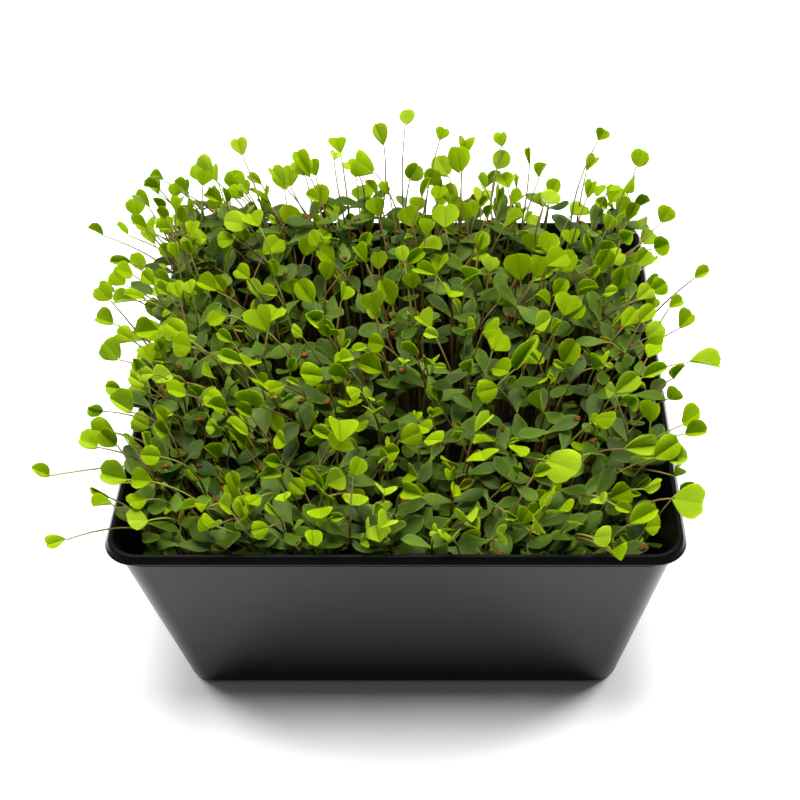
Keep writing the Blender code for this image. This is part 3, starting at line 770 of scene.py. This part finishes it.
def arc(half, z, radius, start, end, steps):
    """Points of a profile round a centre, from one angle to another in degrees."""
    angles = [math.radians(start + (end - start) * i / steps) for i in range(steps + 1)]
    return [(half + radius * math.cos(a), z + radius * math.sin(a)) for a in angles]


def tray_profile():
    """The tray's section from its underside, up and over the rim, and down to its floor."""
    rim, base, top = TRAY_WIDTH / 2, BASE_WIDTH / 2, TRAY_HEIGHT
    under = rim - RIM_OVERHANG
    fillet = arc(base - BASE_FILLET, BASE_FILLET, BASE_FILLET, -90, -8, 6)
    wall = [(base + (under - base) * k, BASE_FILLET + (top - RIM_DEPTH - BASE_FILLET) * k)
            for k in WALL_SHARES]
    wall += [(base + (under - base) * (z * MM) / (top - RIM_DEPTH) - depth * MM, z * MM)
             for z, depth in GROOVE]
    profile = [(base - 6 * MM, 0)] + fillet + wall
    profile += [(rim - inward * MM, top - below * MM) for inward, below in RIM_SECTION]
    profile += [(inner_half(top - 3 * MM), top - 3 * MM), (inner_half(BED_TOP), BED_TOP),
                (inner_half(6 * MM), 6 * MM)]
    profile += arc(inner_half(3 * MM) - FLOOR_FILLET, FLOOR + FLOOR_FILLET, FLOOR_FILLET, 0, -90, 4)
    profile += [(base - 8 * MM, FLOOR)]
    return profile


def make_tray(material):
    """The moulded tray: its section, carried round a square with rounded corners."""
    rings = []
    for half, z in tray_profile():
        share = z / TRAY_HEIGHT
        corner = BASE_CORNER + (RIM_CORNER - BASE_CORNER) * share
        inset = BASE_WIDTH / 2 + (TRAY_WIDTH / 2 - BASE_WIDTH / 2) * share - half
        rings.append(corner_ring(half, max(corner - max(inset, 0) * 0.6, 2 * MM), z, CORNER_STEPS))
    rings = np.array(rings)
    rows, columns = rings.shape[:2]
    gathering = Gathering()
    gathering.add(rings.reshape(-1, 3), capped_faces(rows, columns), 0, 0, 0, 0.5)
    tray = gathering.build("moulded_tray", [material], sharp=40)
    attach(tray, "root")
    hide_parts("tray")


def make_bed_cover(material):
    """The crumbly top of the growing medium, as a thin closed layer over its block."""
    reach = inner_half(BED_TOP) - COVER_GAP
    line = np.linspace(-reach, reach, COVER_STEPS)
    x, y = np.meshgrid(line, line, indexing="ij")
    z = np.empty_like(x)
    for i in range(COVER_STEPS):
        for j in range(COVER_STEPS):
            spot = Vector((x[i, j], y[i, j], 0)) / MM
            lie = COVER_LIE
            for pitch, shift, height in COVER_BUMPS:
                lie += height * noise.noise(spot * pitch + Vector(shift))
            z[i, j] = BED_TOP + lie * MM
    squeeze = np.maximum(np.abs(x), np.abs(y)) / reach
    z = np.where(squeeze > 0.985, BED_TOP - 0.4 * MM, z)
    top = np.stack((x, y, z), axis=2)
    gathering = Gathering()
    add_slab(gathering, top, np.full(x.shape, COVER_THICK), 0, x / reach, y / reach, 0.5)
    cover = gathering.build("bed_cover", [material])
    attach(cover, "root")


def make_fibres(rng, material):
    """Loose strands of coir and fine roots that lie on the bed."""
    gathering = Gathering()
    for _ in range(FIBRES):
        start = Vector((rng.uniform(-FIBRE_REACH, FIBRE_REACH) * MM,
                        rng.uniform(-FIBRE_REACH, FIBRE_REACH) * MM, BED_TOP + 0.9 * MM))
        way = heading(rng.uniform(0, math.tau), 0)
        end = start + way * rng.uniform(*FIBRE_LENGTH) * MM
        end = Vector((max(-FIBRE_LIMIT, min(FIBRE_LIMIT, end.x)),
                      max(-FIBRE_LIMIT, min(FIBRE_LIMIT, end.y)), end.z))
        aside = heading(rng.uniform(0, math.tau), 0.5) * rng.uniform(*FIBRE_BOW) * MM
        bend = (start + end) / 2 + aside
        path = [on_curve(start, bend, end, i / 7) for i in range(8)]
        add_tube(gathering, path, [FIBRE_RADIUS] * 8, 5, 0, rng.random())
    fibres = gathering.build("bed_fibres", [material])
    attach(fibres, "root")


# Materials

def linear(code):
    """An sRGB hex colour as linear red, green and blue with full alpha."""
    parts = [int(code[i:i + 2], 16) / 255 for i in (1, 3, 5)]
    return (*(p / 12.92 if p <= 0.04045 else ((p + 0.055) / 1.055) ** 2.4 for p in parts), 1.0)


def feed(tree, node, inputs):
    """Give each input of a node that is named here its value or its link."""
    for name, value in inputs.items():
        if isinstance(value, bpy.types.NodeSocket):
            tree.links.new(value, node.inputs[name])
        else:
            node.inputs[name].default_value = value


def add_node(tree, kind, inputs, out=0, stops=(), **settings):
    """Add a node with its settings and its inputs' values or links, and give one of its outputs."""
    made = tree.nodes.new(kind)
    for name, value in settings.items():
        setattr(made, name, value)
    if stops:
        elements = made.color_ramp.elements
        while len(elements) < len(stops):
            elements.new(0.5)
        for element, (position, code) in zip(elements, stops):
            element.position = position
            element.color = linear(code)
    feed(tree, made, inputs)
    return made.outputs[out]


def new_material(name):
    """A node material, its tree and its Principled shader."""
    material = bpy.data.materials.new(name)
    material.use_nodes = True
    return material, material.node_tree, material.node_tree.nodes["Principled BSDF"]


def read_marks(tree):
    """What the mesh tells of a plant: how far along, how far across, and the piece's own tone."""
    return [add_node(tree, "ShaderNodeAttribute", {}, "Fac", attribute_name=name)
            for name in ("lengthwise", "sideways", "tone")]


def tray_polypropylene():
    """Black polypropylene, injection moulded: a satin skin whose fine grain softens highlights."""
    material, tree, shader = new_material("tray_polypropylene_moulded")
    place = add_node(tree, "ShaderNodeTexCoord", {}, "Object")
    # The grain of the mould is about 0.05 mm, too fine to show, so it is drawn at 0.4 mm.
    grain = add_node(tree, "ShaderNodeTexNoise", {"Vector": place, "Scale": 1 / 0.0004,
                                                  "Detail": 3.0})
    bump = add_node(tree, "ShaderNodeBump", {"Height": grain, "Strength": 0.03,
                                             "Distance": 0.00005})
    # Cloudy flow marks, about 12 mm across, vary the gloss a little.
    cloud = add_node(tree, "ShaderNodeTexNoise", {"Vector": place, "Scale": 1 / 0.012,
                                                  "Detail": 2.0})
    gloss = add_node(tree, "ShaderNodeMapRange", {"Value": cloud, "From Min": 0.3, "From Max": 0.7,
                                                  "To Min": 0.28, "To Max": 0.32})
    feed(tree, shader, {"Base Color": linear("#070708"), "Roughness": gloss, "IOR": 1.49,
                        "Specular IOR Level": 0.27, "Normal": bump})
    return material


def seed_leaf_skin():
    """Living seed leaf: dull dark green with a waxy sheen, paler at its edge and its foot."""
    material, tree, shader = new_material("seed_leaf_waxy")
    lengthwise, sideways, tone = read_marks(tree)
    skin = add_node(tree, "ShaderNodeValToRGB", {"Fac": tone}, stops=(
        (0.0, "#2E4206"), (0.35, "#3B530A"), (0.7, "#4A6414"), (1.0, "#5E7A24")))
    across = add_node(tree, "ShaderNodeMath", {0: sideways}, operation="ABSOLUTE")
    edge = add_node(tree, "ShaderNodeMath", {0: across, 1: 6.0}, operation="POWER")
    edge = add_node(tree, "ShaderNodeMath", {0: edge, 1: 0.35}, operation="MULTIPLY")
    skin = add_node(tree, "ShaderNodeMix", {0: edge, 6: skin, 7: linear("#6E8C2C")}, 2,
                    data_type="RGBA")
    # Mottling of the leaf's flesh, patches of about 1.2 mm
    place = add_node(tree, "ShaderNodeTexCoord", {}, "Object")
    mottle = add_node(tree, "ShaderNodeTexNoise", {"Vector": place, "Scale": 1 / 0.0012,
                                                   "Detail": 4.0})
    patches = add_node(tree, "ShaderNodeValToRGB", {"Fac": mottle}, stops=(
        (0.3, "#5A5A5A"), (0.7, "#9A9A9A")))
    skin = add_node(tree, "ShaderNodeMix", {0: 0.35, 6: skin, 7: patches}, 2, data_type="RGBA",
                    blend_type="OVERLAY")
    foot = add_node(tree, "ShaderNodeMath", {0: 1.0, 1: lengthwise}, operation="SUBTRACT")
    foot = add_node(tree, "ShaderNodeMath", {0: foot, 1: 5.0}, operation="POWER")
    foot = add_node(tree, "ShaderNodeMath", {0: foot, 1: 0.7}, operation="MULTIPLY")
    skin = add_node(tree, "ShaderNodeMix", {0: foot, 6: skin, 7: linear("#64782A")}, 2,
                    data_type="RGBA")
    bump = add_node(tree, "ShaderNodeBump", {"Height": mottle, "Strength": 0.25,
                                             "Distance": 0.0002})
    feed(tree, shader, {"Base Color": skin, "Normal": bump, "Roughness": 0.38, "IOR": 1.42,
                        "Specular IOR Level": 0.62, "Subsurface Weight": 0.25,
                        "Subsurface Radius": (0.5, 1.0, 0.3), "Subsurface Scale": 0.0007})
    return material


def first_leaf_skin():
    """Living first leaf: thin and lime green, glowing where light comes through, with a painted glow at
    its margin, finely veined.
    """
    material, tree, shader = new_material("first_leaf_thin")
    lengthwise, sideways, tone = read_marks(tree)
    # Brown only at the very start of the ramp, for the few withered ones
    skin = add_node(tree, "ShaderNodeValToRGB", {"Fac": tone}, stops=(
        (0.0, "#7A6226"), (0.04, "#626E04"), (0.3, "#6C8602"), (0.7, "#7E9808"), (1.0, "#90A824")))
    # Side veins leave the midrib at a slant, about 1 mm apart: closer ones wouldn't show.
    across = add_node(tree, "ShaderNodeMath", {0: sideways}, operation="ABSOLUTE")
    slant = add_node(tree, "ShaderNodeMath", {0: across, 1: 0.55}, operation="MULTIPLY")
    slant = add_node(tree, "ShaderNodeMath", {0: lengthwise, 1: slant}, operation="SUBTRACT")
    wave = add_node(tree, "ShaderNodeMath", {0: slant, 1: 46.0}, operation="MULTIPLY")
    wave = add_node(tree, "ShaderNodeMath", {0: wave}, operation="SINE")
    vein = add_node(tree, "ShaderNodeMath", {0: wave, 1: 0.5, 2: 0.5}, operation="MULTIPLY_ADD")
    vein = add_node(tree, "ShaderNodeMath", {0: vein, 1: 5.0}, operation="POWER")
    vein = add_node(tree, "ShaderNodeMath", {0: vein, 1: 0.35}, operation="MULTIPLY")
    midrib = add_node(tree, "ShaderNodeMath", {0: 1.0, 1: across}, operation="SUBTRACT")
    midrib = add_node(tree, "ShaderNodeMath", {0: midrib, 1: 26.0}, operation="POWER")
    lines = add_node(tree, "ShaderNodeMath", {0: vein, 1: midrib}, operation="MAXIMUM")
    faint = add_node(tree, "ShaderNodeMath", {0: lines, 1: 0.26}, operation="MULTIPLY")
    skin = add_node(tree, "ShaderNodeMix", {0: faint, 6: skin, 7: linear("#3E5A08")}, 2,
                    data_type="RGBA")
    # Mottling in patches of about 1.5 mm
    place = add_node(tree, "ShaderNodeTexCoord", {}, "Object")
    mottle = add_node(tree, "ShaderNodeTexNoise", {"Vector": place, "Scale": 1 / 0.0015,
                                                   "Detail": 3.0})
    patches = add_node(tree, "ShaderNodeValToRGB", {"Fac": mottle}, stops=(
        (0.3, "#6A6A6A"), (0.7, "#929292")))
    skin = add_node(tree, "ShaderNodeMix", {0: 0.25, 6: skin, 7: patches}, 2, data_type="RGBA",
                    blend_type="OVERLAY")
    # Painted glow: the margin is lightened towards yellow, where light shining through the thin edge
    # would brighten it.
    edge = add_node(tree, "ShaderNodeMath", {0: across, 1: 8.0}, operation="POWER")
    edge = add_node(tree, "ShaderNodeMath", {0: edge, 1: 0.3}, operation="MULTIPLY")
    skin = add_node(tree, "ShaderNodeMix", {0: edge, 6: skin, 7: linear("#B0C820")}, 2,
                    data_type="RGBA")
    bump = add_node(tree, "ShaderNodeBump", {"Height": lines, "Strength": 0.3,
                                             "Distance": 0.0002}, invert=True)
    feed(tree, shader, {"Base Color": skin, "Normal": bump, "Roughness": 0.5, "IOR": 1.38,
                        "Specular IOR Level": 0.12, "Subsurface Weight": 0.5,
                        "Subsurface Radius": (0.8, 1.0, 0.15), "Subsurface Scale": 0.0008})
    return material


def stem_skin():
    """Young stem or stalk: olive to reddish brown from plant to plant, paler towards its leaf, with
    painted shade darkening it towards its root.
    """
    material, tree, shader = new_material("stem_flushed")
    lengthwise, _, tone = read_marks(tree)
    # The flush comes and goes along a stem every 3 mm or so.
    place = add_node(tree, "ShaderNodeTexCoord", {}, "Object")
    streak = add_node(tree, "ShaderNodeTexNoise", {"Vector": place, "Scale": 1 / 0.003,
                                                   "Detail": 3.0})
    streak = add_node(tree, "ShaderNodeMath", {0: streak, 1: 0.3}, operation="MULTIPLY")
    flush = add_node(tree, "ShaderNodeMath", {0: tone, 1: 0.7}, operation="MULTIPLY")
    flush = add_node(tree, "ShaderNodeMath", {0: flush, 1: streak}, operation="ADD")
    skin = add_node(tree, "ShaderNodeValToRGB", {"Fac": flush}, stops=(
        (0.1, "#7C8E3A"), (0.4, "#8A7A3E"), (0.6, "#7E5636"), (0.9, "#6A3E2C")))
    pale = add_node(tree, "ShaderNodeMath", {0: lengthwise, 1: 0.35}, operation="MULTIPLY")
    skin = add_node(tree, "ShaderNodeMix", {0: pale, 6: skin, 7: linear("#9AA04A")}, 2,
                    data_type="RGBA")
    # Painted shade: the stem darkens to near black towards its root, where the stand shades it, so the
    # stand looks near black between its leaves.
    foot = add_node(tree, "ShaderNodeMath", {0: 1.0, 1: lengthwise}, operation="SUBTRACT")
    foot = add_node(tree, "ShaderNodeMath", {0: foot, 1: 1.4}, operation="POWER")
    foot = add_node(tree, "ShaderNodeMath", {0: foot, 1: 0.7}, operation="MULTIPLY")
    skin = add_node(tree, "ShaderNodeMix", {0: foot, 6: skin, 7: linear("#2C1E12")}, 2,
                    data_type="RGBA")
    feed(tree, shader, {"Base Color": skin, "Roughness": 0.45, "Subsurface Weight": 0.2,
                        "Subsurface Radius": (1.0, 0.6, 0.2), "Subsurface Scale": 0.0004})
    return material


def seed_coat_husk():
    """Dry seed coat: papery rust brown with darker wrinkles."""
    material, tree, shader = new_material("seed_coat_dry")
    # Wrinkles of about 0.6 mm, coarser than real ones so that they show
    place = add_node(tree, "ShaderNodeTexCoord", {}, "Object")
    wrinkle = add_node(tree, "ShaderNodeTexNoise", {"Vector": place, "Scale": 1 / 0.0006,
                                                    "Detail": 4.0})
    husk = add_node(tree, "ShaderNodeValToRGB", {"Fac": wrinkle}, stops=(
        (0.3, "#341E0C"), (0.5, "#5C3816"), (0.75, "#8A5C2C")))
    bump = add_node(tree, "ShaderNodeBump", {"Height": wrinkle, "Strength": 0.6,
                                             "Distance": 0.0003})
    feed(tree, shader, {"Base Color": husk, "Normal": bump, "Roughness": 0.6,
                        "Specular IOR Level": 0.2})
    return material


def damp_coir():
    """Damp coir and peat, pressed: dark brown crumbs darkened to near black by painted shade from the
    stand above, shiny where it is wet.
    """
    material, tree, shader = new_material("growing_medium_damp")
    # Crumbs of about 1.6 mm
    place = add_node(tree, "ShaderNodeTexCoord", {}, "Object")
    crumb = add_node(tree, "ShaderNodeTexNoise", {"Vector": place, "Scale": 1 / 0.0016,
                                                  "Detail": 6.0})
    # Partly painted shade: the crumbs' dark browns are pushed to near black, the shade that the stand
    # casts on the bed.
    earth = add_node(tree, "ShaderNodeValToRGB", {"Fac": crumb}, stops=(
        (0.3, "#050403"), (0.5, "#0C0906"), (0.7, "#1C140D")))
    wet = add_node(tree, "ShaderNodeMapRange", {"Value": crumb, "To Min": 0.95, "To Max": 0.55})
    bump = add_node(tree, "ShaderNodeBump", {"Height": crumb, "Strength": 0.8,
                                             "Distance": 0.0008})
    feed(tree, shader, {"Base Color": earth, "Roughness": wet, "Normal": bump,
                        "Specular IOR Level": 0.2})
    return material


# Stage

def make_floor():
    """A plain white floor under the tray."""
    bpy.ops.mesh.primitive_circle_add(vertices=FLOOR_SIDES, radius=FLOOR_RADIUS, fill_type="NGON",
                                      location=(0, 0, -FLOOR_DROP))
    floor = bpy.context.object
    floor.name = "floor"
    paper, tree, shader = new_material("white_paper")
    feed(tree, shader, {"Base Color": linear("#F6F6F6"), "Roughness": 0.9})
    floor.data.materials.append(paper)


def make_lamps():
    """Soft, plain studio lamps, all aimed at the tray."""
    for name, place, size, power, reflected in LAMPS:
        light = bpy.data.lights.new(name, "AREA")
        light.size = size
        light.energy = power
        lamp = bpy.data.objects.new(name, light)
        lamp.location = place
        lamp.rotation_euler = (LAMP_TARGET - Vector(place)).to_track_quat("-Z", "Y").to_euler()
        lamp.visible_glossy = reflected
        bpy.context.scene.collection.objects.link(lamp)


def make_surround():
    """A dim white surround, dimmer still towards the front, which fills in the shadows."""
    world = bpy.data.worlds.new("surround")
    world.use_nodes = True
    tree = world.node_tree
    way = add_node(tree, "ShaderNodeTexCoord", {}, "Generated")
    back = add_node(tree, "ShaderNodeSeparateXYZ", {0: way}, "Y")
    glow = add_node(tree, "ShaderNodeMapRange", {"Value": back, "From Min": -0.9, "From Max": 0.1,
                                                 "To Min": 0.06, "To Max": 0.17})
    # Seen straight on it is white, so that the floor has no visible edge.
    seen = add_node(tree, "ShaderNodeLightPath", {}, "Is Camera Ray")
    glow = add_node(tree, "ShaderNodeMath", {0: glow, 1: seen}, operation="MAXIMUM")
    feed(tree, tree.nodes["Background"], {"Color": linear("#FFFFFF"), "Strength": glow})
    bpy.context.scene.world = world


def make_camera():
    """The photograph's view: from the front and above."""
    camera = bpy.data.cameras.new("camera")
    camera.sensor_width = 36.0
    camera.lens = CAMERA_LENS
    camera.shift_x = CAMERA_SHIFT
    camera.clip_start = 0.01
    body = bpy.data.objects.new("camera", camera)
    body.location = CAMERA_PLACE
    body.rotation_euler = (math.radians(90 - CAMERA_DIP), 0, 0)
    bpy.context.scene.collection.objects.link(body)
    bpy.context.scene.camera = body


def main():
    """Plan the seedlings, draw every piece and set the stage."""
    rng = random.Random(SEED)
    tufts = plan_tufts(rng)
    seedlings, taken = plan_seedlings(rng, plan_roots(rng, tufts), np.zeros((0, 4)), CAD_HABIT)
    rng = random.Random(EXTRA_SEED)
    fringe, taken = plan_seedlings(rng, plan_fringe(rng, tufts), taken, FRINGE_HABIT)
    edge_roots = [root for stretch in EDGE for root in scatter_roots(rng, tufts, *stretch)]
    edge, taken = plan_seedlings(rng, edge_roots, taken, EDGE_HABIT)
    carpet_roots = scatter_roots(rng, tufts, CARPET, CARPET_REACH_X, CARPET_REACH_Y)
    carpet, taken = plan_seedlings(rng, carpet_roots, taken, CARPET_HABIT)

    fibre = damp_coir()
    skins = [stem_skin(), seed_leaf_skin(), first_leaf_skin(), seed_coat_husk(), fibre]
    detail = random.Random(DETAIL_SEED)
    for number, middle in enumerate(tufts):
        gathering = Gathering()
        add_root_plug(gathering, middle)
        for seedling in seedlings + fringe:
            if seedling.tuft == number:
                add_seedling(gathering, detail, seedling, 0.0)
        for seedling in edge + carpet:
            if seedling.tuft == number:
                bare = BARE_FRONT if seedling.root.y < FRONT_EDGE else BARE_ELSEWHERE
                add_seedling(gathering, detail, seedling, bare)
        name = f"tuft_{number + 1:02d}"
        tuft = gathering.build("seedlings_" + name[-2:], skins)
        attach(tuft, "root")
        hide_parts(name)

    make_tray(tray_polypropylene())
    make_bed_cover(fibre)
    make_fibres(detail, fibre)
    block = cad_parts["growing_medium"]
    block.data.materials.clear()
    block.data.materials.append(fibre)
    make_floor()
    make_lamps()
    make_surround()
    make_camera()
    bpy.context.scene.view_settings.view_transform = "Standard"


main()
